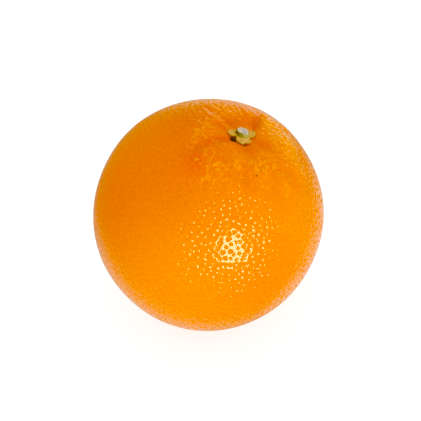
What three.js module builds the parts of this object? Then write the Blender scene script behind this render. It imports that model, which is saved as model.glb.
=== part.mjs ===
// A whole sweet orange: the fruit, and on its stem end the calyx with the cut stub of the stem.
// Millimetres, +Z up. The origin is the middle of the small flat spot that the fruit rests on.
import * as THREE from "three";
import { mergeVertices } from "three/addons/utils/BufferGeometryUtils.js";

// ---- driving dimensions -------------------------------------------------------------------

// The body is a spheroid about the stem axis, a little longer than it is wide.
const EQUATOR_RADIUS = 38;
const POLE_RADIUS = 38.9;

// The fruit rests with its stem axis leaning, and its weight has pressed a small spot flat.
const LEAN_DEG = 18.8;
const LEAN_TOWARD_DEG = 24;
const FLAT_RADIUS = 7;

// The hollow that holds the calyx, and the low shoulder round it. A higher power gives the
// hollow a flatter floor and steeper sides.
const HOLLOW = { depth: 3.5, width: 9, power: 2.6 };
const SHOULDER = { height: 0.5, at: 17, width: 7 };

// Furrows run out from the hollow. `at` is the azimuth where a furrow leaves the calyx, counted
// about the stem axis from the side that it leans to. `bend` is how far it has turned 20 mm out.
const FURROWS = [
  { at: 197, bend: -10, depth: 0.95, width: 2, reach: 27 },
  { at: 257, bend: 6, depth: 0.25, width: 1.8, reach: 20 },
  { at: 310, bend: -6, depth: 0.4, width: 2.2, reach: 24 },
  { at: 14, bend: 40, depth: 0.8, width: 1.6, reach: 20 },
  { at: 108, bend: 12, depth: 0.6, width: 1.8, reach: 19 },
  { at: 148, bend: -6, depth: 0.4, width: 2.2, reach: 24 },
];
const FURROW_START = 2.5;
const FURROW_DEEPEST = 8;

// Swollen crests between the furrows.
const CRESTS = [
  { at: 52, fromStem: 12, height: 0.45, radius: 3.2 },
  { at: 82, fromStem: 13, height: 0.3, radius: 3 },
];

// Where furrows run in under the calyx they end in small pockets.
const POCKETS = [
  { at: 197, fromStem: 3.4, depth: 1.6, radius: 1.15 },
  { at: 262, fromStem: 4.5, depth: 0.7, radius: 0.6 },
];

// Gentle waves over the whole body, and knobs that fade out away from the stem. The knobs reach
// furthest at the azimuth of the rough side.
const LUMPS = { height: 0.16, wavelength: 34, waves: 7, seed: 1.3 };
const KNOBS = { height: 0.24, wavelength: 8.5, waves: 14, seed: 4.1, fadeFrom: 11, fadeTo: 28 };
const ROUGH_SIDE = { at: 300, stretch: 0.3 };

// The scar that the flower's style left on the far end, in a faint ring.
const SCAR = { depth: 0.7, radius: 2.1, ringHeight: 0.25, ringRadius: 4.6, ringWidth: 1.6 };

// Pores of the oil glands cover the skin. They are about half as large again as real ones.
const PORE_DEPTH = 0.3;
const PORE_FREE_RADIUS = 7; // the calyx sits on smooth skin
const PORE_SEED = 20;

// The skin is a subdivided icosahedron, its facets drawn together towards the stem.
const SKIN_DETAIL = 23;
const SKIN_DRAW = 0.22;
const SKIN_JITTER = 0.16; // of a facet's edge

// The calyx: a disc that rises to the stub, with five dry sepals. `reach` is a tip's distance
// from the axis, and `blunt` runs from 1 for a pointed sepal to 4 for a square one.
const CALYX_GAP = 0.3;
const DISC_RADIUS = 2.5;
const MOUND = { height: 0.85, topRadius: 2, footRadius: 3.6 };
const SEPAL_THICKNESS = 0.6;
const SEPALS = [
  { at: -10, reach: 5, halfWidth: 32, blunt: 2.6, skew: 0.3, lift: 0.15 },
  { at: 64, reach: 3.4, halfWidth: 34, blunt: 2.5, skew: 0, lift: 0.2 },
  { at: 156, reach: 4.6, halfWidth: 32, blunt: 2.2, skew: 0, lift: 0.15 },
  { at: 234, reach: 4.8, halfWidth: 34, blunt: 2.6, skew: 0.3, lift: 0.15 },
  { at: 281, reach: 4.4, halfWidth: 32, blunt: 2.6, skew: 0, lift: 0.2 },
];
const CALYX_SEGMENTS = 96;
const CALYX_RINGS = 6;

// The stub of the stem, cut short and a little askew.
const STUB_RADIUS = 2.05;
const STUB_TOP = 1.1; // above the mound
const STUB_GAP = 0.3;
const STUB_SLANT_DEG = 7;
const STUB_SLANT_TOWARD_DEG = 230;
const STUB_FACES = 0.05; // how far its sides wander from round, as a share of the radius
const STUB_SEGMENTS = 30;

// ---- small helpers ------------------------------------------------------------------------

const rad = THREE.MathUtils.degToRad;
const smooth = THREE.MathUtils.smoothstep;
const bell = (x, width) => Math.exp(-((x / width) ** 2));

/** The shorter way round from one angle to another, in radians. */
const turn = (from, to) => Math.atan2(Math.sin(to - from), Math.cos(to - from));

/** A repeatable stream of numbers from 0 to 1. */
function seededRandom(seed) {
  let state = seed;
  return () => {
    state = (state * 1664525 + 1013904223) % 4294967296;
    return state / 4294967296;
  };
}

/** A unit vector at a polar angle from the stem and an azimuth about it. */
function directionAt(polar, azimuth) {
  return new THREE.Vector3(
    Math.sin(polar) * Math.cos(azimuth),
    Math.sin(polar) * Math.sin(azimuth),
    Math.cos(polar),
  );
}

/** The i-th of n directions spread evenly over a sphere on a golden spiral. */
function spiralDirection(i, n) {
  const z = 1 - (2 * i + 1) / n;
  const r = Math.sqrt(1 - z * z);
  const a = i * Math.PI * (3 - Math.sqrt(5));
  return new THREE.Vector3(r * Math.cos(a), r * Math.sin(a), z);
}

/** Waves that cross the body in many directions: about -1 to 1, with no grain of its own. */
function ripple(direction, { wavelength, waves, seed }) {
  let sum = 0;
  for (let i = 0; i < waves; i++) {
    const along = EQUATOR_RADIUS * direction.dot(spiralDirection(i, waves));
    const length = wavelength * (0.8 + (0.5 * i) / waves);
    sum += Math.sin((2 * Math.PI * along) / length + seed * (i + 1) ** 2);
  }
  return sum / Math.sqrt(waves);
}

/** A closed geometry with shared vertices, holding positions only. */
function weld(geometry) {
  geometry.deleteAttribute("normal");
  geometry.deleteAttribute("uv");
  return mergeVertices(geometry, 1e-5);
}

/** Moves every vertex of a geometry with `place`, which changes the vector that it is given. */
function reshape(geometry, place) {
  const position = geometry.getAttribute("position");
  const point = new THREE.Vector3();
  for (let i = 0; i < position.count; i++) {
    point.fromBufferAttribute(position, i);
    place(point, i);
    position.setXYZ(i, point.x, point.y, point.z);
  }
  geometry.computeVertexNormals();
  return geometry;
}

// ---- the form of the skin, about the stem axis ----------------------------------------------

/** How far the furrows cut in, at a distance along the skin from the stem and an azimuth. */
function furrowDepth(fromStem, azimuth) {
  let total = 0;
  for (const { at, bend, depth, width, reach } of FURROWS) {
    const line = rad(at + (bend * fromStem) / 20);
    const aside = EQUATOR_RADIUS * Math.sin(fromStem / EQUATOR_RADIUS) * turn(line, azimuth);
    const start = smooth(fromStem, FURROW_START, FURROW_DEEPEST);
    const end = 1 - smooth(fromStem, FURROW_DEEPEST, reach);
    total += depth * start * end * bell(aside, width * (0.6 + fromStem / 25));
  }
  return total;
}

/** How far the swollen crests between the furrows stand out. */
function crestHeight(direction) {
  let total = 0;
  for (const { at, fromStem, height, radius } of CRESTS) {
    const gap = EQUATOR_RADIUS * direction.distanceTo(directionAt(fromStem / EQUATOR_RADIUS, rad(at)));
    total += height * bell(gap, radius);
  }
  return total;
}

/** How far the pockets at the calyx's edge cut in. */
function pocketDepth(direction) {
  let deepest = 0;
  for (const { at, fromStem, depth, radius } of POCKETS) {
    const gap = EQUATOR_RADIUS * direction.distanceTo(directionAt(fromStem / EQUATOR_RADIUS, rad(at)));
    deepest = Math.max(deepest, depth * bell(gap, radius));
  }
  return deepest;
}

/** 1 on the rough skin round the hollow, fading to 0 further out. */
function roughShare(fromStem, azimuth) {
  const near = fromStem / (1 + ROUGH_SIDE.stretch * Math.cos(azimuth - rad(ROUGH_SIDE.at)));
  const rough = smooth(fromStem, FURROW_START, FURROW_DEEPEST);
  return rough * (1 - smooth(near, KNOBS.fadeFrom, KNOBS.fadeTo));
}

/** The skin's distance from the middle of the fruit, without its pores and pockets. */
function skinRadius(direction) {
  const polar = Math.acos(THREE.MathUtils.clamp(direction.z, -1, 1));
  const azimuth = Math.atan2(direction.y, direction.x);
  const fromStem = EQUATOR_RADIUS * polar;
  const fromScar = EQUATOR_RADIUS * (Math.PI - polar);
  const body = 1 / Math.hypot(Math.sin(polar) / EQUATOR_RADIUS, Math.cos(polar) / POLE_RADIUS);
  return (
    body -
    HOLLOW.depth * Math.exp(-((fromStem / HOLLOW.width) ** HOLLOW.power)) +
    SHOULDER.height * bell(fromStem - SHOULDER.at, SHOULDER.width) -
    furrowDepth(fromStem, azimuth) +
    crestHeight(direction) +
    LUMPS.height * ripple(direction, LUMPS) +
    KNOBS.height * roughShare(fromStem, azimuth) * ripple(direction, KNOBS) -
    SCAR.depth * bell(fromScar, SCAR.radius) +
    SCAR.ringHeight * bell(fromScar - SCAR.ringRadius, SCAR.ringWidth)
  );
}

/** The skin's height along the stem axis, at a distance from the axis and an azimuth. */
function skinHeight(fromAxis, azimuth) {
  let radius = POLE_RADIUS;
  let direction;
  for (let step = 0; step < 4; step++) {
    direction = directionAt(Math.asin(fromAxis / radius), azimuth);
    radius = skinRadius(direction);
  }
  return radius * direction.z;
}

// ---- the pieces -----------------------------------------------------------------------------

/** Which vertices are pores: in a seeded order, each one that has no pore beside it yet. */
function choosePores(geometry, random) {
  const count = geometry.getAttribute("position").count;
  const beside = Array.from({ length: count }, () => []);
  const index = geometry.index.array;
  for (let i = 0; i < index.length; i += 3)
    for (const [a, b] of [[0, 1], [1, 2], [2, 0]]) {
      beside[index[i + a]].push(index[i + b]);
      beside[index[i + b]].push(index[i + a]);
    }
  const order = Array.from({ length: count }, (_, i) => ({ i, key: random() }));
  order.sort((a, b) => a.key - b.key);
  const isPore = new Array(count).fill(false);
  for (const { i } of order) isPore[i] = !beside[i].some((neighbour) => isPore[neighbour]);
  return isPore;
}

/** The fruit: displaced facets, pores, and the spot that is pressed flat under its weight. */
function makeFruit(down, restDistance) {
  const random = seededRandom(PORE_SEED);
  const geometry = weld(new THREE.IcosahedronGeometry(1, SKIN_DETAIL));
  const isPore = choosePores(geometry, random);
  const jitter = (SKIN_JITTER * 2) / (SKIN_DETAIL + 1);
  return reshape(geometry, (point, i) => {
    point.x += jitter * (random() - 0.5);
    point.y += jitter * (random() - 0.5);
    point.z += jitter * (random() - 0.5);
    point.normalize();
    const polar = Math.acos(point.z);
    const drawn = polar - SKIN_DRAW * Math.sin(polar);
    const direction = directionAt(drawn, Math.atan2(point.y, point.x));
    const hasPore = isPore[i] && EQUATOR_RADIUS * drawn > PORE_FREE_RADIUS;
    const poreDepth = PORE_DEPTH * (0.6 + 0.5 * random());
    const sunk = pocketDepth(direction) + (hasPore ? poreDepth : 0);
    point.copy(direction).multiplyScalar(skinRadius(direction) - sunk);
    const below = point.dot(down) - restDistance;
    if (below > 0) point.addScaledVector(down, -below);
  });
}

/** 0 on a sepal's middle line and 1 at its sides, as seen from the stem axis. */
function sepalAside({ at, halfWidth, skew }, azimuth) {
  const aside = THREE.MathUtils.clamp(turn(rad(at), azimuth) / rad(halfWidth), -1, 1);
  return Math.abs(aside - skew * (1 - aside * aside));
}

/** How far the calyx reaches from the axis at an azimuth: the disc, and an arch to each tip. */
function calyxReach(azimuth) {
  let reach = DISC_RADIUS;
  for (const sepal of SEPALS) {
    const arch = 1 - sepalAside(sepal, azimuth) ** sepal.blunt;
    reach = Math.max(reach, DISC_RADIUS + (sepal.reach - DISC_RADIUS) * arch);
  }
  return reach;
}

/** How far a sepal's tip curls up off the skin at an azimuth. */
function calyxLift(azimuth) {
  let lift = 0;
  for (const sepal of SEPALS)
    lift = Math.max(lift, sepal.lift * (1 - 0.6 * sepalAside(sepal, azimuth) ** 2));
  return lift;
}

/** The height of the calyx's underside or top, at a distance from the axis and an azimuth. */
function calyxHeight(fromAxis, azimuth, top) {
  const out = Math.max(0, (fromAxis - DISC_RADIUS) / 2);
  const under = skinHeight(fromAxis, azimuth) + CALYX_GAP + calyxLift(azimuth) * out ** 1.5;
  const mound = 1 - smooth(fromAxis, MOUND.topRadius, MOUND.footRadius);
  const thickness = THREE.MathUtils.lerp(SEPAL_THICKNESS, MOUND.height, mound);
  return top ? under + thickness : under;
}

/** The calyx: a lathed disc whose rings are drawn out to the sepals and laid over the skin. */
function makeCalyx() {
  const profile = [];
  for (let i = 0; i <= CALYX_RINGS; i++) profile.push(new THREE.Vector2(i / CALYX_RINGS, -1));
  for (let i = CALYX_RINGS; i >= 0; i--) profile.push(new THREE.Vector2(i / CALYX_RINGS, 1));
  const geometry = weld(new THREE.LatheGeometry(profile, CALYX_SEGMENTS).rotateX(Math.PI / 2));
  return reshape(geometry, (point) => {
    const azimuth = Math.atan2(point.y, point.x);
    const fromAxis = Math.hypot(point.x, point.y) * calyxReach(azimuth);
    const height = calyxHeight(fromAxis, azimuth, point.z > 0);
    point.set(fromAxis * Math.cos(azimuth), fromAxis * Math.sin(azimuth), height);
  });
}

/** The stub: a short lathed peg, a little angular, standing on the origin with its end askew. */
function makeStem() {
  const height = STUB_TOP - STUB_GAP;
  const profile = [
    [0, 0],
    [0.55, 0],
    [1.08, 0],
    [1.03, 0.3],
    [1, 0.6],
    [1.01, 0.85],
    [0.95, 1],
    [0.7, 0.97],
    [0.35, 0.95],
    [0, 0.93],
  ].map(([radiusShare, heightShare]) => new THREE.Vector2(radiusShare * STUB_RADIUS, heightShare * height));
  const geometry = weld(new THREE.LatheGeometry(profile, STUB_SEGMENTS).rotateX(Math.PI / 2));
  const uphill = directionAt(Math.PI / 2, rad(STUB_SLANT_TOWARD_DEG));
  return reshape(geometry, (point) => {
    const azimuth = Math.atan2(point.y, point.x);
    const wander = 1 + STUB_FACES * (Math.sin(2 * azimuth + 0.6) + 0.6 * Math.sin(5 * azimuth));
    point.x *= wander;
    point.y *= wander;
    const slant = Math.tan(rad(STUB_SLANT_DEG)) * point.dot(uphill);
    point.z += (point.z / height) * slant;
  });
}

// ---- assembly -------------------------------------------------------------------------------

const materials = {
  fruit: new THREE.MeshStandardMaterial({ color: 0xf08a0c, roughness: 0.38, metalness: 0 }),
  calyx: new THREE.MeshStandardMaterial({ color: 0xb9a24c, roughness: 0.8, metalness: 0 }),
  stem: new THREE.MeshStandardMaterial({ color: 0xb8aea2, roughness: 0.85, metalness: 0 }),
};

// The way down, as the leaning fruit sees it, and how far its middle stands above its flat spot.
const down = new THREE.Vector3(0, 0, -1).applyEuler(new THREE.Euler(0, -rad(LEAN_DEG), 0));
const lowest = skinRadius(down);
const restDistance = lowest - FLAT_RADIUS ** 2 / (2 * lowest);

const fruit = new THREE.Mesh(makeFruit(down, restDistance), materials.fruit);
fruit.name = "fruit";

const calyx = new THREE.Mesh(makeCalyx(), materials.calyx);
calyx.name = "calyx";

const stem = new THREE.Mesh(makeStem(), materials.stem);
stem.name = "stem";
stem.position.z = calyxHeight(0, 0, true) + STUB_GAP;

const leaning = new THREE.Group();
leaning.add(fruit, calyx, stem);
leaning.position.z = restDistance;
leaning.rotation.set(0, rad(LEAN_DEG), rad(LEAN_TOWARD_DEG), "ZYX");

const orange = new THREE.Group();
orange.add(leaning);
export default orange;
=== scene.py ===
"""A whole sweet orange resting on a pale table, seen from above its front.

The fruit is one surface with its hollow, furrows, knobs and pores. On its stem end sit the dry
calyx and the cut stub of the stem. Lengths in the formulas are millimetres, as on the object,
and meshes are written in metres.
"""

from math import cos, pi, radians, sin, sqrt, tan

import bpy
import numpy as np
from mathutils import Matrix, Vector


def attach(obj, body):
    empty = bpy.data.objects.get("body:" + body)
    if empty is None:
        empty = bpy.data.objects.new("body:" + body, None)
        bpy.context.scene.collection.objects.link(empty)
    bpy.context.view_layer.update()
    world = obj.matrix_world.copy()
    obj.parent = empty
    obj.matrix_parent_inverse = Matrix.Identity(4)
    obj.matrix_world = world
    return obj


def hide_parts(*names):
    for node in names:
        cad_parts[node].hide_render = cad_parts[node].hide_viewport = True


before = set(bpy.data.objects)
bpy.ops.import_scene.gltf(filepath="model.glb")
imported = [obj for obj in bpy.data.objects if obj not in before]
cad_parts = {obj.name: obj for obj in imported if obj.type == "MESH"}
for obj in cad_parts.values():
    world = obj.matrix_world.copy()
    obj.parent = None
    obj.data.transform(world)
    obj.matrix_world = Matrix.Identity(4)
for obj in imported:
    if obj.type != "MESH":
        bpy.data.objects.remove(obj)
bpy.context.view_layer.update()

MM = 0.001

# ---- the object's own dimensions, in millimetres ---------------------------------------------

EQUATOR_RADIUS = 38.0
POLE_RADIUS = 38.9

LEAN = radians(18.8)
LEAN_TOWARD = radians(24)
FLAT_RADIUS = 7.0

HOLLOW = dict(depth=3.5, width=9.0, power=2.6)
SHOULDER = dict(height=0.5, at=17.0, width=7.0)

# `at` is the azimuth where a furrow leaves the calyx, counted about the stem axis from the side
# it leans to; `bend` is how far it has turned 20 mm out.
FURROWS = (
    dict(at=197, bend=-10, depth=0.95, width=2.0, reach=27),
    dict(at=257, bend=6, depth=0.25, width=1.8, reach=20),
    dict(at=310, bend=-6, depth=0.4, width=2.2, reach=24),
    dict(at=14, bend=40, depth=0.8, width=1.6, reach=20),
    dict(at=108, bend=12, depth=0.6, width=1.8, reach=19),
    dict(at=148, bend=-6, depth=0.4, width=2.2, reach=24),
)
# Swollen crests between the furrows.
CRESTS = (
    dict(at=52, from_stem=12.0, radius=3.2, height=0.45),
    dict(at=82, from_stem=13.0, radius=3.0, height=0.3),
)
FURROW_START = 2.5
FURROW_DEEPEST = 8.0

LUMPS = dict(height=0.16, wavelength=34.0, waves=7, seed=1.3)
KNOBS = dict(height=0.24, wavelength=8.5, waves=14, seed=4.1, rise=(2.5, 8.0), fade=(11.0, 28.0))
PEBBLES = dict(height=0.08, wavelength=3.0, waves=34, seed=2.7, rise=(7.0, 12.0), fade=(12.0, 29.0))
SWELLS = dict(height=0.008, wavelength=4.8, waves=26, seed=0.9)
ROUGH_SIDE = radians(300)  # where the knobs and pebbles reach furthest

# Patches where the skin is raised in crinkles, painted pale: partly their own tone, partly a painted
# highlight. Their pattern lies round a cylinder about the stem, CRINKLE_RING in radius. It is squeezed
# along the cylinder, which draws the crinkles out.
CRINKLES = (
    dict(at=219, from_stem=20.5, radius=5, strength=1.0),
    dict(at=188, from_stem=18.5, radius=3.5, strength=0.75),
    dict(at=172, from_stem=13.0, radius=3.5, strength=0.8),
    dict(at=240, from_stem=15.5, radius=3.0, strength=0.5),
    dict(at=275, from_stem=14.0, radius=4.0, strength=0.7),
    dict(at=344, from_stem=12.0, radius=4.5, strength=0.9),
    dict(at=335, from_stem=19.0, radius=4.0, strength=0.5),
    dict(at=105, from_stem=13.0, radius=5.0, strength=0.8),
    dict(at=140, from_stem=19.0, radius=4.0, strength=0.5),
    dict(at=20, from_stem=15.0, radius=5.0, strength=0.9),
)
CRINKLE_WIDTH = 1.45
CRINKLE_RING = 16.0
CRINKLE_SQUEEZE = 0.8

# Patches beside the calyx where the wax is worn and dusty.
DULL = (
    dict(at=245, from_stem=8, radius=5.5, worn=0.85),
    dict(at=175, from_stem=8, radius=5, worn=0.7),
    dict(at=300, from_stem=9.5, radius=5, worn=0.8),
)

# Where furrows run in under the calyx they end in small pockets, whose bottoms are painted dark brown
# as shade.
POCKETS = (
    dict(at=197, from_stem=3.4, depth=1.6, radius=1.15),
    dict(at=262, from_stem=4.5, depth=0.7, radius=0.6),
)

# Sides where the skin is finer and its pores are shallower.
FINE_SIDES = (
    dict(at=160, from_stem=50, radius=20, shallower=0.55),
    dict(at=185, from_stem=72, radius=20, shallower=0.4),
)

# Patches where the skin is redder, or, below zero, paler and yellower: partly the skin's own riper and
# paler tones, partly painted shade on sides that face away from the lamps and painted light on walls
# beside the calyx.
TONE_AND_SHADE_PATCHES = (
    dict(at=165, from_stem=53, radius=18, red=0.4),
    dict(at=163, from_stem=68, radius=13, red=0.15),
    dict(at=150, from_stem=20, radius=9, red=0.3),
    dict(at=201, from_stem=20, radius=4.5, red=0.8),
    dict(at=198, from_stem=29, radius=8, red=0.25),
    dict(at=227, from_stem=52, radius=19, red=-0.25),
    dict(at=240, from_stem=69, radius=16, red=-0.1),
    dict(at=245, from_stem=9.5, radius=4.5, red=-0.65),
    dict(at=262, from_stem=14, radius=4, red=0.35),
    dict(at=275, from_stem=31, radius=12, red=-0.15),
    dict(at=310, from_stem=48, radius=18, red=-0.08),
    dict(at=295, from_stem=35, radius=9, red=-0.15),
    dict(at=290, from_stem=10, radius=5, red=-0.6),
    dict(at=335, from_stem=13, radius=9, red=-0.7),
    dict(at=350, from_stem=23, radius=6, red=0.3),
    dict(at=15, from_stem=13, radius=7, red=-0.5),
    dict(at=42, from_stem=23, radius=9, red=0.4),
)

SPECK = dict(at=261, from_stem=17.9, radius=0.45)
SCAR = dict(depth=0.7, radius=2.1, ring_height=0.25, ring_radius=4.6, ring_width=1.6)

# Oil-gland pores. Each is a pit in a wider, shallower dish.
PORE_SPACING = 2.1
PORE_SHAKE = 0.32  # of the spacing
PORE_RADIUS = (0.43, 0.72)
PORE_DEPTH = (0.18, 0.42)
SMALL_PORES = dict(share=0.25, size=0.25)
PORE_START = (5, 9)  # from the stem, where the first pores fade in
PORE_SHARE = 0.3  # of the depth is in the mesh, the rest in the material's finer relief
MESH_PIT_SHARPNESS = 2.4  # the power in the pit's bell, in the mesh
PIT_SHARPNESS = 2.3  # and in the finer relief
MESH_PULL = dict(share=0.3, radius=0.8)  # how the mesh's squares are drawn in towards a pore
DISH_RADIUS = 1.1
DISH_DEPTH = 0.015

# Patterns of the skin's colour.
BLOTCH_SIZE = 14
GRAIN_SIZE = 0.75

# The calyx is a disc that rises to the stub, with five dry sepals. `blunt` runs from 1 for a
# pointed sepal to 4 for a square one.
DISC_RADIUS = 2.5
MOUND = dict(height=0.85, top_radius=2.0, foot_radius=3.6)
SEPAL_THICKNESS = 0.36
SEPAL_GAP = 0.3
SEPALS = (
    dict(at=-10, reach=5.0, half_width=32, blunt=2.6, skew=0.3, lift=0.15),
    dict(at=64, reach=3.4, half_width=34, blunt=2.5, skew=0.0, lift=0.2),
    dict(at=156, reach=4.6, half_width=32, blunt=2.2, skew=0.0, lift=0.15),
    dict(at=234, reach=4.8, half_width=34, blunt=2.6, skew=0.3, lift=0.15),
    dict(at=281, reach=4.4, half_width=32, blunt=2.6, skew=0.0, lift=0.2),
)

STUB_RADIUS = 2.05
STUB_TOP = 1.1  # above the mound
# From the bottom's middle to the end's middle: the share of the way, then the height as a share
# of STUB_TOP and the radius as a share of STUB_RADIUS.
STUB_PROFILE = (
    (0.0, -0.4, 0.0),
    (0.1, -0.38, 1.1),
    (0.3, 0.11, 1.04),
    (0.5, 0.6, 1.0),
    (0.6, 0.9, 1.01),
    (0.68, 1.0, 0.95),
    (0.76, 0.97, 0.8),
    (1.0, 0.93, 0.0),
)
STUB_SLANT = radians(7)
STUB_SLANT_TOWARD = radians(230)

random = np.random.default_rng(7)


# ---- formulas --------------------------------------------------------------------------------


def smooth(x, low, high):
    """0 below low, 1 above high, and a smooth step between."""
    t = np.clip((x - low) / (high - low), 0, 1)
    return t * t * (3 - 2 * t)


def bell(x, width):
    """1 at zero, falling to about a third at one width."""
    return np.exp(-((x / width) ** 2))


def turn(start, end):
    """The shorter way round from one angle to another, in radians."""
    return (end - start + pi) % (2 * pi) - pi


def spiral_directions(count):
    """Directions spread evenly over a sphere along a golden spiral."""
    i = np.arange(count)
    z = 1 - (2 * i + 1) / count
    r = np.sqrt(1 - z * z)
    a = i * pi * (3 - sqrt(5))
    return np.stack([r * np.cos(a), r * np.sin(a), z], axis=1)


def ripple(direction, wave):
    """The sum of sine waves that cross the body in many directions, about -1 to 1."""
    i = np.arange(wave["waves"])
    along = EQUATOR_RADIUS * direction @ spiral_directions(wave["waves"]).T
    length = wave["wavelength"] * (0.8 + 0.5 * i / wave["waves"])
    phase = 2 * pi * along / length + wave["seed"] * (i + 1) ** 2
    return np.sin(phase).sum(axis=1) / sqrt(wave["waves"])


def about_stem(direction):
    """Distance along the skin from the stem, and azimuth about the stem axis."""
    from_stem = EQUATOR_RADIUS * np.arccos(np.clip(direction[:, 2], -1, 1))
    return from_stem, np.arctan2(direction[:, 1], direction[:, 0])


def polar_direction(polar, azimuth):
    """Unit vectors at a polar angle from the stem and an azimuth about it."""
    s = np.sin(polar)
    return np.stack([s * np.cos(azimuth), s * np.sin(azimuth), np.cos(polar)], axis=-1)


def gap_to(direction, place):
    """Distance in mm from the middle of a place."""
    middle = polar_direction(place["from_stem"] / EQUATOR_RADIUS, radians(place["at"]))
    return EQUATOR_RADIUS * np.linalg.norm(direction - middle, axis=1)


def pocket_depth(direction):
    """Bell-shaped pits at the calyx's edge, and where two meet, the deeper."""
    bells = [p["depth"] * bell(gap_to(direction, p), p["radius"]) for p in POCKETS]
    return np.max(bells, axis=0)


def patches(direction, places, amount):
    """A sum of bells, one over each place, as high as the amount it names."""
    return sum(place[amount] * bell(gap_to(direction, place), place["radius"]) for place in places)


def furrow_depth(from_stem, azimuth):
    """Bell-shaped grooves that follow slowly turning lines out from the hollow."""
    total = np.zeros_like(from_stem)
    for f in FURROWS:
        line = np.radians(f["at"] + f["bend"] * from_stem / 20)
        aside = EQUATOR_RADIUS * np.sin(from_stem / EQUATOR_RADIUS) * turn(line, azimuth)
        run = smooth(from_stem, FURROW_START, FURROW_DEEPEST)
        run = run * (1 - smooth(from_stem, FURROW_DEEPEST, f["reach"]))
        total += f["depth"] * run * bell(aside, f["width"] * (0.6 + from_stem / 25))
    return total


def rough_share(direction, wave):
    """1 on the rough skin round the hollow, between the distances where the wave rises and fades."""
    from_stem, azimuth = about_stem(direction)
    near = from_stem / (1 + 0.3 * np.cos(azimuth - ROUGH_SIDE))
    return smooth(from_stem, *wave["rise"]) * (1 - smooth(near, *wave["fade"]))


def relief(direction):
    """Knobs and pebbles that fade out away from the stem, and swells where they have faded."""
    knobby = rough_share(direction, KNOBS)
    pebbly = rough_share(direction, PEBBLES)
    return (
        KNOBS["height"] * knobby * ripple(direction, KNOBS)
        + PEBBLES["height"] * pebbly * ripple(direction, PEBBLES)
        + SWELLS["height"] * (1 - pebbly) * ripple(direction, SWELLS)
    )


def skin_radius(direction):
    """A spheroid, less the stem hollow and its furrows, plus shoulder, lumps, knobs and scar.

    Pores and pockets are left to the fruit's own mesh.
    """
    from_stem, azimuth = about_stem(direction)
    polar = from_stem / EQUATOR_RADIUS
    from_scar = EQUATOR_RADIUS * (pi - polar)
    body = 1 / np.hypot(np.sin(polar) / EQUATOR_RADIUS, np.cos(polar) / POLE_RADIUS)
    return (
        body
        - HOLLOW["depth"] * np.exp(-((from_stem / HOLLOW["width"]) ** HOLLOW["power"]))
        + SHOULDER["height"] * bell(from_stem - SHOULDER["at"], SHOULDER["width"])
        - furrow_depth(from_stem, azimuth)
        + patches(direction, CRESTS, "height")
        + LUMPS["height"] * ripple(direction, LUMPS)
        + relief(direction)
        - SCAR["depth"] * bell(from_scar, SCAR["radius"])
        + SCAR["ring_height"] * bell(from_scar - SCAR["ring_radius"], SCAR["ring_width"])
    )


def skin_height(from_axis, azimuth):
    """The skin's height along the stem axis, found by stepping the polar angle to fit."""
    radius = np.full(np.shape(from_axis), POLE_RADIUS)
    for _ in range(4):
        direction = polar_direction(np.arcsin(from_axis / radius), azimuth)
        radius = skin_radius(direction.reshape(-1, 3)).reshape(np.shape(from_axis))
    return radius * direction[..., 2]


# ---- from the stem's own frame to the scene's --------------------------------------------------

LEANING = np.array(Matrix.Rotation(LEAN_TOWARD, 3, "Z") @ Matrix.Rotation(LEAN, 3, "Y"))
DOWN = LEANING.T @ np.array([0.0, 0.0, -1.0])
LOWEST = float(skin_radius(DOWN[None, :])[0])
REST_DISTANCE = LOWEST - FLAT_RADIUS**2 / (2 * LOWEST)


def stand(points):
    """Leans points given about the stem axis and lifts them onto the flat spot, in metres."""
    placed = points.reshape(-1, 3) @ LEANING.T
    placed[:, 2] = np.maximum(placed[:, 2] + REST_DISTANCE, 0)
    return placed * MM


def add_mesh(name, points, faces):
    """A smooth mesh object at the origin from arrays of points and of faces' corners."""
    mesh = bpy.data.meshes.new(name)
    mesh.from_pydata(points, [], faces)
    mesh.shade_smooth()
    piece = bpy.data.objects.new(name, mesh)
    bpy.context.collection.objects.link(piece)
    return piece


def add_values(piece, name, values, domain="POINT"):
    """Stores a number or a vector for each vertex or face, for a material to read."""
    kind, slot = ("FLOAT", "value") if values.ndim == 1 else ("FLOAT_VECTOR", "vector")
    layer = piece.data.attributes.new(name, kind, domain)
    layer.data.foreach_set(slot, values.astype(np.float32).ravel())


speck_polar = np.array([SPECK["from_stem"] / EQUATOR_RADIUS])
speck_direction = polar_direction(speck_polar, np.array([radians(SPECK["at"])]))
SPECK_PLACE = stand(speck_direction * skin_radius(speck_direction)[:, None])[0]


# ---- the fruit ---------------------------------------------------------------------------------


def cube_sphere(n):
    """Unit directions of a cube's six faces of n by n squares, spread to equal angles.

    Points on the cube's edges are shared, so the surface is closed.
    """
    u, v = np.meshgrid(np.arange(n + 1), np.arange(n + 1), indexing="ij")
    square = np.arange(n * n).reshape(n, n)
    corner = square + square // n
    quad = np.stack([corner, corner + n + 1, corner + n + 2, corner + 1], axis=-1).reshape(-1, 4)
    points, faces = [], []
    for axis in range(3):
        for far in (0, n):
            side = np.empty((n + 1, n + 1, 3), dtype=int)
            side[..., axis] = far
            side[..., (axis + 1) % 3] = u
            side[..., (axis + 2) % 3] = v
            faces.append((quad if far else quad[:, ::-1]) + len(faces) * (n + 1) ** 2)
            points.append(side.reshape(-1, 3))
    shared, index = np.unique(np.concatenate(points), axis=0, return_inverse=True)
    spread = np.tan(pi / 4 * (2 * shared / n - 1))
    spread /= np.linalg.norm(spread, axis=1, keepdims=True)
    return spread, index.ravel()[np.concatenate(faces)]


def nearest(points, centres):
    """For each unit vector, the number of its nearest centre and the distance to it in mm."""
    index, cosine = [], []
    for block in np.array_split(points.astype(np.float32), 64):
        closeness = block @ centres.T.astype(np.float32)
        index.append(closeness.argmax(axis=1))
        cosine.append(closeness.max(axis=1))
    index = np.concatenate(index)
    gap = np.linalg.norm(points - centres[index], axis=1)
    return index, EQUATOR_RADIUS * gap


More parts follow.
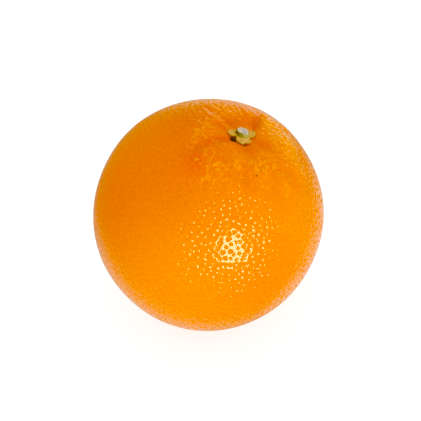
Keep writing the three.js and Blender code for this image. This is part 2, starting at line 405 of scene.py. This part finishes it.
def pore_centres(points):
    """Pores: spiral points shaken out of their rows, then each moved to its cell's middle."""
    count = round(4 * pi * EQUATOR_RADIUS**2 / (PORE_SPACING**2 * 0.87))
    centres = spiral_directions(count)
    centres = centres + random.normal(0, PORE_SHAKE * PORE_SPACING / EQUATOR_RADIUS, centres.shape)
    centres /= np.linalg.norm(centres, axis=1, keepdims=True)
    for _ in range(2):
        index, _gap = nearest(points, centres)
        total = np.stack([np.bincount(index, points[:, k], count) for k in range(3)], axis=1)
        share = np.maximum(np.bincount(index, None, count), 1)[:, None]
        centres = centres + 0.7 * (total / share - centres)
        centres /= np.linalg.norm(centres, axis=1, keepdims=True)
    return centres


def width_of(size):
    """A pore's radius in mm, from its size between 0 and 1."""
    return np.interp(size, [0, 1], PORE_RADIUS)


def depth_of(size):
    """A pore's depth in mm, from its size between 0 and 1."""
    return np.interp(size, [0, 1], PORE_DEPTH)


def make_fruit():
    """The skin's formula over a cube sphere, with its squares drawn in towards each pore."""
    direction, faces = cube_sphere(128)
    centres = pore_centres(direction)
    size = random.random(len(centres))
    small = random.random(len(centres)) < SMALL_PORES["share"]
    size = np.where(small, SMALL_PORES["size"] * size, size)
    depth = depth_of(size) * (1 - np.clip(patches(centres, FINE_SIDES, "shallower"), 0, 0.75))

    index, gap = nearest(direction, centres)
    pull = MESH_PULL["share"] * bell(gap, MESH_PULL["radius"])[:, None]
    direction = direction + pull * (centres[index] - direction)
    direction /= np.linalg.norm(direction, axis=1, keepdims=True)
    gap = EQUATOR_RADIUS * np.linalg.norm(direction - centres[index], axis=1)

    from_stem, azimuth = about_stem(direction)
    pored = smooth(from_stem, *PORE_START)
    pit = np.exp(-((gap / width_of(size[index])) ** MESH_PIT_SHARPNESS)) * pored
    dish = bell(gap, DISH_RADIUS) * pored
    radius = skin_radius(direction) - pocket_depth(direction)
    radius = radius - PORE_SHARE * depth[index] * pit - DISH_DEPTH * dish

    piece = add_mesh("fruit_skin", stand(direction * radius[:, None]), faces.tolist())
    add_values(piece, "furrow", furrow_depth(from_stem, azimuth))
    add_values(piece, "ridge", relief(direction))
    add_values(piece, "pocket", pocket_depth(direction))
    add_values(piece, "from_stem", from_stem)
    around = [CRINKLE_RING * np.cos(azimuth), CRINKLE_RING * np.sin(azimuth)]
    ring = [*around, CRINKLE_SQUEEZE * from_stem]
    add_values(piece, "round_stem", MM * np.stack(ring, axis=1))
    add_values(piece, "worn", np.clip(patches(direction, DULL, "worn"), 0, 1))
    add_values(piece, "redness", patches(direction, TONE_AND_SHADE_PATCHES, "red"))
    crinkly = 0.45 * rough_share(direction, PEBBLES) + patches(direction, CRINKLES, "strength")
    add_values(piece, "crinkly", np.clip(crinkly, 0, 1))

    # Every face also knows its pore, so that the material can draw the pit's round wall.
    middle = direction[faces].mean(axis=1)
    middle /= np.linalg.norm(middle, axis=1, keepdims=True)
    own, _gap = nearest(middle, centres)
    mouth = stand(centres * (skin_radius(centres) - DISH_DEPTH)[:, None])
    add_values(piece, "pore_middle", mouth[own], "FACE")
    add_values(piece, "pore_width", width_of(size)[own], "FACE")
    full_depth = depth * smooth(about_stem(centres)[0], *PORE_START)
    add_values(piece, "pore_depth", full_depth[own], "FACE")
    return piece


# ---- the calyx and the stub ----------------------------------------------------------------------


def sepal_aside(sepal, azimuth):
    """0 on a sepal's middle line and 1 at its sides, as seen from the stem axis."""
    aside = turn(radians(sepal["at"]), azimuth) / radians(sepal["half_width"])
    aside = np.clip(aside, -1, 1)
    return np.abs(aside - sepal["skew"] * (1 - aside**2))


def calyx_reach(azimuth):
    """A star: the disc, and over each sepal an arch out to its tip, ragged as if dry."""
    foot = DISC_RADIUS
    reach = np.full_like(azimuth, foot)
    for s in SEPALS:
        arch = 1 - sepal_aside(s, azimuth) ** s["blunt"]
        reach = np.maximum(reach, foot + (s["reach"] - foot) * arch)
    ragged = np.sin(13 * azimuth + 1) + 0.7 * np.sin(29 * azimuth + 2) + 0.5 * np.sin(47 * azimuth)
    return reach + 0.07 * smooth(reach, foot, foot + 1) * ragged


def calyx_lift(azimuth):
    """How far each sepal's tip curls up off the skin."""
    lift = np.zeros_like(azimuth)
    for s in SEPALS:
        lift = np.maximum(lift, s["lift"] * (1 - 0.6 * sepal_aside(s, azimuth) ** 2))
    return lift


def closed_ring(name, rings, segments, place):
    """A closed surface of rings about the stem axis, shut to a point at both ends.

    `place` turns a share of the way along the profile and an azimuth into points.
    """
    along, azimuth = np.meshgrid(
        np.linspace(0, 1, rings + 1)[1:-1], np.arange(segments) * 2 * pi / segments, indexing="ij"
    )
    along = np.append(along.ravel(), [0, 1])
    azimuth = np.append(azimuth.ravel(), [0, 0])
    points = place(along, azimuth)
    i = np.arange((rings - 2) * segments).reshape(rings - 2, segments)
    j = np.roll(i, -1, axis=1)
    quads = np.stack([i, j, j + segments, i + segments], axis=-1).reshape(-1, 4)
    first = np.arange(segments)
    last = first + (rings - 2) * segments
    low, high = len(points) - 2, len(points) - 1
    caps = np.concatenate([
        np.stack([np.full(segments, low), np.roll(first, -1), first], axis=1),
        np.stack([np.full(segments, high), last, np.roll(last, -1)], axis=1),
    ])
    piece = add_mesh(name, stand(points), quads.tolist() + caps.tolist())
    return piece, points, along, azimuth


def place_calyx(along, azimuth):
    """Underside out to the rim, round it, and back over the sepals and the mound to the middle."""
    share = 1 - np.abs(2 * along - 1)
    share = np.sqrt(np.clip(1 - (1 - share) ** 1.6, 0, 1))
    top = along > 0.5
    reach = calyx_reach(azimuth)
    from_axis = share * reach
    out = np.clip((from_axis - DISC_RADIUS) / 2, 0, None)
    mound = 1 - smooth(from_axis, MOUND["top_radius"], MOUND["foot_radius"])
    sepal = smooth(from_axis, DISC_RADIUS - 0.3, DISC_RADIUS + 0.6)
    fibres = 0.035 * np.sin(31 * azimuth + 0.8 * from_axis) + 0.025 * np.sin(57 * azimuth + 1)
    wrinkle = 0.06 * np.sin(7 * azimuth + 2.6 * from_axis)
    underside = skin_height(from_axis, azimuth) + SEPAL_GAP + calyx_lift(azimuth) * out**1.5
    edge = np.sqrt(np.clip(1 - share**8, 0, 1))
    thickness = SEPAL_THICKNESS * edge + (MOUND["height"] - SEPAL_THICKNESS) * mound
    height = underside + sepal * (wrinkle + fibres) + top * thickness
    return np.stack([from_axis * np.cos(azimuth), from_axis * np.sin(azimuth), height], axis=-1)


MOUND_TOP = float(skin_height(np.array([0.01]), np.zeros(1))[0]) + SEPAL_GAP + MOUND["height"]


def place_stub(along, azimuth):
    """Up the side of a slightly angular peg and over its end, which is cut askew."""
    share, heights, radii = np.transpose(STUB_PROFILE)
    height, radius = np.interp(along, share, heights), np.interp(along, share, radii)
    angular = 1 + 0.05 * np.sin(2 * azimuth + 0.6) + 0.03 * np.sin(5 * azimuth)
    angular = angular + 0.012 * np.sin(17 * azimuth) + 0.01 * np.sin(29 * azimuth + 1)
    r = STUB_RADIUS * radius * angular
    x, y = r * np.cos(azimuth), r * np.sin(azimuth)
    cut = 0.05 * np.sin(4 * x) * np.sin(4.4 * y + 1)
    slant = tan(STUB_SLANT) * (x * cos(STUB_SLANT_TOWARD) + y * sin(STUB_SLANT_TOWARD))
    z = MOUND_TOP + STUB_TOP * height + np.clip(height, 0, 1) * slant + smooth(along, 0.6, 0.7) * cut
    return np.stack([x, y, z], axis=-1)


# ---- materials -----------------------------------------------------------------------------------


def linear(hex_colour):
    """An sRGB hex colour as linear RGBA."""
    srgb = np.array([int(hex_colour[i : i + 2], 16) for i in (1, 3, 5)]) / 255
    rgb = np.where(srgb <= 0.04045, srgb / 12.92, ((srgb + 0.055) / 1.055) ** 2.4)
    return (*rgb, 1)


def add_node(tree, kind, settings=(), links=()):
    """Adds a node, sets its properties and sockets by name, and links its inputs."""
    node = tree.nodes.new(kind)
    for key, value in dict(settings).items():
        if isinstance(key, str) and hasattr(node, key) and key not in node.inputs:
            setattr(node, key, value)
        else:
            node.inputs[key].default_value = value
    for key, source in dict(links).items():
        tree.links.new(source, node.inputs[key])
    return node


def new_material(name):
    """A material and its emptied node tree."""
    material = bpy.data.materials.new(name)
    material.use_nodes = True
    material.node_tree.nodes.clear()
    return material, material.node_tree


def lay_over(tree, colour, layers):
    """Lays hex colours over a colour, one after another.

    Each layer names a value, the value where it starts, the value where it covers most, the share
    that it then covers, and its colour.
    """
    for value, start, full, most, hex_colour in layers:
        share = add_node(
            tree,
            "ShaderNodeMapRange",
            {"From Min": start, "From Max": full, "To Max": most},
            {"Value": value},
        )
        mixed = add_node(
            tree,
            "ShaderNodeMix",
            {"data_type": "RGBA", 7: linear(hex_colour)},
            {0: share.outputs[0], 6: colour},
        )
        colour = mixed.outputs[2]
    return colour


def waxy_orange_peel():
    """Orange flavedo under its thin natural wax: saturated, faintly translucent, softly glossy."""
    material, tree = new_material("waxy_orange_peel")
    place = add_node(tree, "ShaderNodeTexCoord").outputs["Object"]
    stored = {
        name: add_node(tree, "ShaderNodeAttribute", {"attribute_name": name})
        for name in (
            "furrow",
            "ridge",
            "pocket",
            "from_stem",
            "round_stem",
            "worn",
            "redness",
            "crinkly",
            "pore_middle",
            "pore_width",
            "pore_depth",
        )
    }
    value = {name: node.outputs["Fac"] for name, node in stored.items()}
    blotch, grain = (
        add_node(
            tree, "ShaderNodeTexNoise", {"Scale": 1 / (size * MM), "Detail": detail}, {"Vector": place}
        ).outputs["Fac"]
        for size, detail in ((BLOTCH_SIZE, 3.0), (GRAIN_SIZE, 2.0))
    )

    # Each pore is a round pit: a steep bell of the distance to its own middle.
    gap = add_node(
        tree,
        "ShaderNodeVectorMath",
        {"operation": "DISTANCE"},
        {0: place, 1: stored["pore_middle"].outputs["Vector"]},
    )
    pit = gap.outputs["Value"]
    for operation, number, link in (
        ("DIVIDE", {}, {1: value["pore_width"]}),
        ("DIVIDE", {1: MM}, {}),
        ("POWER", {1: PIT_SHARPNESS}, {}),
        ("MULTIPLY", {1: -1.0}, {}),
        ("EXPONENT", {}, {}),
        ("MULTIPLY", {}, {1: value["pore_depth"]}),
    ):
        step = add_node(tree, "ShaderNodeMath", {"operation": operation, **number}, {0: pit, **link})
        pit = step.outputs[0]
    bottom = add_node(tree, "ShaderNodeMath", {"operation": "POWER", 1: 2.0}, {0: pit})

    # Raised crinkles, the crests of a pattern that wanders out away from the stem. The rougher
    # the skin, the more of the pattern stands up.
    wander = add_node(
        tree,
        "ShaderNodeTexNoise",
        {"Scale": 1 / (CRINKLE_WIDTH * MM), "Detail": 2.0, "Distortion": 0.8},
        {"Vector": stored["round_stem"].outputs["Vector"]},
    )
    lifted = add_node(
        tree,
        "ShaderNodeMath",
        {"operation": "MULTIPLY_ADD", 1: 0.22},
        {0: value["crinkly"], 2: wander.outputs["Fac"]},
    )
    crinkle = add_node(
        tree, "ShaderNodeMapRange", {"From Min": 0.69, "From Max": 0.81}, {"Value": lifted.outputs[0]}
    )

    to_speck = add_node(
        tree, "ShaderNodeVectorMath", {"operation": "DISTANCE", 1: tuple(SPECK_PLACE)}, {0: place}
    )
    speck = SPECK["radius"] * MM
    ripe = add_node(
        tree,
        "ShaderNodeMix",
        {"data_type": "RGBA", 6: linear("#ee6e03"), 7: linear("#f07a05")},
        {0: blotch},
    )
    colour = lay_over(
        tree,
        ripe.outputs[2],
        (
            (value["redness"], 0.0, 1.0, 1.0, "#e84600"),  # redder patches: riper skin, and partly painted shade
            (value["redness"], 0.0, -1.0, 1.0, "#fca209"),  # paler patches: yellower skin, and partly painted light
            (value["from_stem"], 24.0, 7.0, 0.85, "#e86001"),  # the redder stem end
            (value["ridge"], 0.05, 0.4, 0.2, "#fea018"),  # painted light on the knobs' crests
            (value["ridge"], 0.0, -0.4, 0.5, "#e65402"),  # painted shade in the dips between them
            # the crinkles, paler: partly their own tone, partly a painted highlight
            (crinkle.outputs[0], 0.0, 1.0, 0.65, "#ff9c3c"),
            # the furrows, redder: partly their own deeper tone, partly painted shade in the creases
            (value["furrow"], 0.0, 0.6, 0.75, "#e44802"),
            (grain, 0.5, 0.35, 0.28, "#dd5a02"),  # the fine grain, darker and lighter
            (grain, 0.5, 0.65, 0.24, "#f88a0c"),
            (bottom.outputs[0], 0.0, 0.667, 1.0, "#d05a02"),  # the pores' bottoms, darker: partly the oil glands' own colour, partly painted shade in the pits
            (value["pocket"], 0.15, 0.7, 0.9, "#46100a"),  # painted shade: dark brown in the pockets under the calyx
            (to_speck.outputs["Value"], 0.9 * speck, 0.4 * speck, 0.85, "#5a1c04"),
        ),
    )

    # The pulp glows under the pits, so only the wax coat shows their sharp walls.
    grained = add_node(
        tree, "ShaderNodeBump", {"Strength": 1.0, "Distance": 0.01 * MM}, {"Height": grain}
    )
    crinkled = add_node(
        tree,
        "ShaderNodeBump",
        {"Strength": 1.0, "Distance": 0.09 * MM},
        {"Height": crinkle.outputs[0], "Normal": grained.outputs["Normal"]},
    )
    pitted = add_node(
        tree,
        "ShaderNodeBump",
        {"Strength": 1.0, "Distance": (1 - PORE_SHARE) * MM, "invert": True},
        {"Height": pit, "Normal": crinkled.outputs["Normal"]},
    )
    rough = add_node(
        tree, "ShaderNodeMapRange", {"To Min": 0.75, "To Max": 0.9}, {"Value": blotch}
    )
    waxed = add_node(
        tree, "ShaderNodeMath", {"operation": "SUBTRACT", 0: 1.0}, {1: value["worn"]}
    )
    shader = add_node(
        tree,
        "ShaderNodeBsdfPrincipled",
        {
            "Specular IOR Level": 0.5,
            "Subsurface Weight": 0.12,
            "Subsurface Radius": (1.0, 0.35, 0.05),
            "Subsurface Scale": 1.5 * MM,
            "Coat Roughness": 0.1,
            "Coat IOR": 1.45,
        },
        {
            "Base Color": colour,
            "Roughness": rough.outputs[0],
            "Normal": crinkled.outputs["Normal"],
            "Coat Weight": waxed.outputs[0],
            "Coat Normal": pitted.outputs["Normal"],
        },
    )
    add_node(tree, "ShaderNodeOutputMaterial", {}, {"Surface": shader.outputs[0]})
    return material


def add_matt_surface(tree, ior, colour, rough, bump):
    """A matt shader whose roughness and relief each follow a pattern.

    `rough` is a pattern and the roughness at its ends, `bump` a pattern and its height in mm.
    """
    pattern, smoothest, roughest = rough
    roughness = add_node(
        tree, "ShaderNodeMapRange", {"To Min": smoothest, "To Max": roughest}, {"Value": pattern}
    )
    pattern, height = bump
    raised = add_node(
        tree, "ShaderNodeBump", {"Strength": 1.0, "Distance": height * MM}, {"Height": pattern}
    )
    shader = add_node(
        tree,
        "ShaderNodeBsdfPrincipled",
        {"IOR": ior},
        {"Base Color": colour, "Roughness": roughness.outputs[0], "Normal": raised.outputs["Normal"]},
    )
    add_node(tree, "ShaderNodeOutputMaterial", {}, {"Surface": shader.outputs[0]})


def dry_sepals():
    """Calyx tissue dried to straw: fibrous, matt, green round the stub and brown at its margins."""
    material, tree = new_material("dry_sepals")
    place = add_node(tree, "ShaderNodeTexCoord").outputs["Object"]
    mottle, fibre = (
        add_node(
            tree, "ShaderNodeTexNoise", {"Scale": 1 / (size * MM), "Detail": detail}, {"Vector": place}
        ).outputs["Fac"]
        for size, detail in ((1.2, 4.0), (0.35, 3.0))
    )
    from_axis, to_rim = (
        add_node(tree, "ShaderNodeAttribute", {"attribute_name": name}).outputs["Fac"]
        for name in ("from_axis", "to_rim")
    )
    straw = add_node(
        tree,
        "ShaderNodeMix",
        {"data_type": "RGBA", 6: linear("#b8804f"), 7: linear("#eeba8c")},
        {0: mottle},
    )
    colour = lay_over(
        tree,
        straw.outputs[2],
        (
            (from_axis, 2.5, 2.2, 0.8, "#a8a674"),  # green round the stub
            (to_rim, 0.9, 1.0, 0.3, "#b07850"),  # brown margins
        ),
    )
    add_matt_surface(tree, 1.4, colour, (mottle, 0.55, 0.85), (fibre, 0.12))
    return material


def cut_twig():
    """A woody stalk cut with clippers: olive bark on its side, dry grey-white wood on its end."""
    material, tree = new_material("cut_twig")
    place = add_node(tree, "ShaderNodeTexCoord").outputs["Object"]
    patch, crack = (
        add_node(
            tree, "ShaderNodeTexNoise", {"Scale": 1 / (size * MM), "Detail": detail}, {"Vector": place}
        ).outputs["Fac"]
        for size, detail in ((1.1, 4.0), (0.7, 2.0))
    )
    bark_green_and_lit_side, up = (
        add_node(tree, "ShaderNodeAttribute", {"attribute_name": name}).outputs["Fac"]
        for name in ("bark_green_and_lit_side", "up")
    )
    weathered, onto_end = (
        add_node(
            tree, "ShaderNodeMapRange", {"From Min": start, "From Max": full}, {"Value": value}
        ).outputs[0]
        for value, start, full in ((patch, 0.4, 0.62), (up, 0.8, 0.95))
    )
    bark, wood = (
        add_node(
            tree,
            "ShaderNodeMix",
            {"data_type": "RGBA", 6: linear(first), 7: linear(second)},
            {0: share},
        ).outputs[2]
        for share, first, second in (
            # the side: partly the bark's own browns and greens, partly painted light and shade
            (bark_green_and_lit_side, "#60462c", "#b4b080"),
            (weathered, "#b6b0b6", "#d8bcaa"),
        )
    )
    both = add_node(tree, "ShaderNodeMix", {"data_type": "RGBA"}, {0: onto_end, 6: bark, 7: wood})
    colour = lay_over(tree, both.outputs[2], ((crack, 0.56, 0.68, 0.8, "#6a4028"),))
    add_matt_surface(tree, 1.5, colour, (patch, 0.7, 0.9), (patch, 0.15))
    return material


# ---- the pieces ----------------------------------------------------------------------------------

skin = make_fruit()
skin.data.materials.append(waxy_orange_peel())
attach(skin, "root")
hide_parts("fruit")

calyx, points, along, azimuth = closed_ring("calyx_star", 56, 300, place_calyx)
from_axis = np.hypot(points[:, 0], points[:, 1])
add_values(calyx, "from_axis", from_axis)
add_values(calyx, "to_rim", from_axis / calyx_reach(azimuth))
calyx.data.materials.append(dry_sepals())
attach(calyx, "root")
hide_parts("calyx")

stub, points, along, azimuth = closed_ring("stem_stub", 40, 120, place_stub)
add_values(stub, "up", np.interp(along, [0.3, 0.72], [0, 1]))
# Greener and paler towards the lamps and the camera, browner on the far side: partly the bark's own
# green, partly painted light and shade.
add_values(stub, "bark_green_and_lit_side", (0.5 + 0.5 * np.cos(azimuth - radians(303))) ** 2)
stub.data.materials.append(cut_twig())
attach(stub, "root")
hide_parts("stem")


# ---- the table, the lights and the camera --------------------------------------------------------

CENTRE = Vector((0, 0, REST_DISTANCE * MM))
ELEVATION = radians(50)
RIGHT = Vector((1, 0, 0))
UP = Vector((0, sin(ELEVATION), cos(ELEVATION)))
TOWARD = Vector((0, -cos(ELEVATION), sin(ELEVATION)))

table_mesh = bpy.data.meshes.new("table")
table_mesh.from_pydata([(-4, -4, 0), (4, -4, 0), (4, 4, 0), (-4, 4, 0)], [], [(0, 1, 2, 3)])
table = bpy.data.objects.new("table", table_mesh)
bpy.context.collection.objects.link(table)
# White card, lit through from below so that it stays white with only a faint shadow.
white, white_tree = new_material("white_card")
card = add_node(
    white_tree,
    "ShaderNodeBsdfPrincipled",
    {
        "Base Color": linear("#aaaaaa"),
        "Roughness": 0.9,
        "Specular IOR Level": 0.0,
        "Emission Color": linear("#ffffff"),
        "Emission Strength": 0.72,
    },
)
add_node(white_tree, "ShaderNodeOutputMaterial", {}, {"Surface": card.outputs[0]})
table_mesh.materials.append(white)


SOFTBOX_DISTANCE = 0.8


def add_softbox(name, toward, half_angle, radiance, glossy=True):
    """A round lamp that faces the fruit and spans twice an angle in degrees, as seen from there.

    Its power is radiance times pi times its area.
    """
    radius = SOFTBOX_DISTANCE * tan(radians(half_angle))
    lamp = bpy.data.lights.new(name, "AREA")
    lamp.shape = "DISK"
    lamp.size = 2 * radius
    lamp.energy = radiance * pi * pi * radius**2
    piece = bpy.data.objects.new(name, lamp)
    direction = Vector(toward).normalized()
    turned = direction.to_track_quat("Z", "Y").to_matrix().to_4x4()
    piece.matrix_world = Matrix.Translation(CENTRE + direction * SOFTBOX_DISTANCE) @ turned
    piece.visible_glossy = glossy
    bpy.context.collection.objects.link(piece)
    return piece


# The softbox low on the right: one lamp lights the skin, and one gives the broken highlight.
add_softbox("key_softbox", (0.412, -0.885, 0.217), 11, 5.6, glossy=False)
shine = add_softbox("key_shine", (0.385, -0.9, 0.217), 15.7, 16.0)
shine.data.color = (1, 0.95, 0.7)
shine.visible_diffuse = False
table.visible_glossy = False

# The pale studio lights the fruit evenly from all round. In its gloss the studio is brighter
# below and on the right than above and behind.
# Each glow has a direction, the cosines where it starts and is full, and its strength at both.
DIFFUSE_STRENGTH = 0.97
FLOOR_GLOW = ((-0.38, 0.0, -0.92), 0.75, 0.95, 0.4, 0.85)
OTHER_GLOWS = (
    ((0.53, 0.4, -0.75), 0.89, 0.96, 0.0, 0.56),  # the wall on the right, low down
    ((0.1, 0.93, -0.36), 0.945, 0.985, 0.0, 0.455),  # the wall behind
    ((0.45, 0.88, 0.12), 0.89, 0.95, 0.0, 1.25),  # a bank of lamps behind on the right
    ((0.1, 0.05, 0.993), 0.925, 0.95, 0.0, 0.84),  # the ceiling
)


def glow_towards(tree, facing, direction, start, full, dim, bright):
    """Strength that rises from dim to bright as a ray turns towards a direction.

    `start` and `full` are cosines of the angle between the two.
    """
    toward = tuple(Vector(direction).normalized())
    turned = add_node(
        tree, "ShaderNodeVectorMath", {"operation": "DOT_PRODUCT", 1: toward}, {0: facing}
    )
    glow = add_node(
        tree,
        "ShaderNodeMapRange",
        {
            "interpolation_type": "SMOOTHSTEP",
            "From Min": start,
            "From Max": full,
            "To Min": dim,
            "To Max": bright,
        },
        {"Value": turned.outputs["Value"]},
    )
    return glow.outputs[0]


world = bpy.data.worlds.new("pale_studio")
world.use_nodes = True
sky = world.node_tree
sky.nodes.clear()
facing = add_node(sky, "ShaderNodeTexCoord").outputs["Generated"]
sheen = glow_towards(sky, facing, *FLOOR_GLOW)
for glow in OTHER_GLOWS:
    both = {0: sheen, 1: glow_towards(sky, facing, *glow)}
    sheen = add_node(sky, "ShaderNodeMath", {"operation": "ADD"}, both).outputs[0]
is_gloss = add_node(sky, "ShaderNodeLightPath").outputs["Is Glossy Ray"]
strength = add_node(sky, "ShaderNodeMix", {2: DIFFUSE_STRENGTH}, {0: is_gloss, 3: sheen})
white_light = add_node(
    sky, "ShaderNodeBackground", {"Color": (1, 1, 1, 1)}, {"Strength": strength.outputs[0]}
)
add_node(sky, "ShaderNodeOutputWorld", {}, {"Surface": white_light.outputs[0]})
bpy.context.scene.world = world

# A camera loses the little blue there is in so strong an orange.
view = bpy.context.scene.view_settings
view.view_transform = "Standard"
view.use_curve_mapping = True
view.curve_mapping.black_level = (0, 0, 0.13)
view.curve_mapping.update()

# The camera stands 0.6 m away and looks a little past the fruit's middle.
camera_data = bpy.data.cameras.new("camera")
camera_data.sensor_width = 36
camera_data.lens = 154.8
camera = bpy.data.objects.new("camera", camera_data)
eye = CENTRE + 0.6 * TOWARD + MM * (0.73 * RIGHT + 1.43 * UP)
camera.matrix_world = Matrix.Translation(eye) @ Matrix((RIGHT, UP, TOWARD)).transposed().to_4x4()
bpy.context.collection.objects.link(camera)
bpy.context.scene.camera = camera
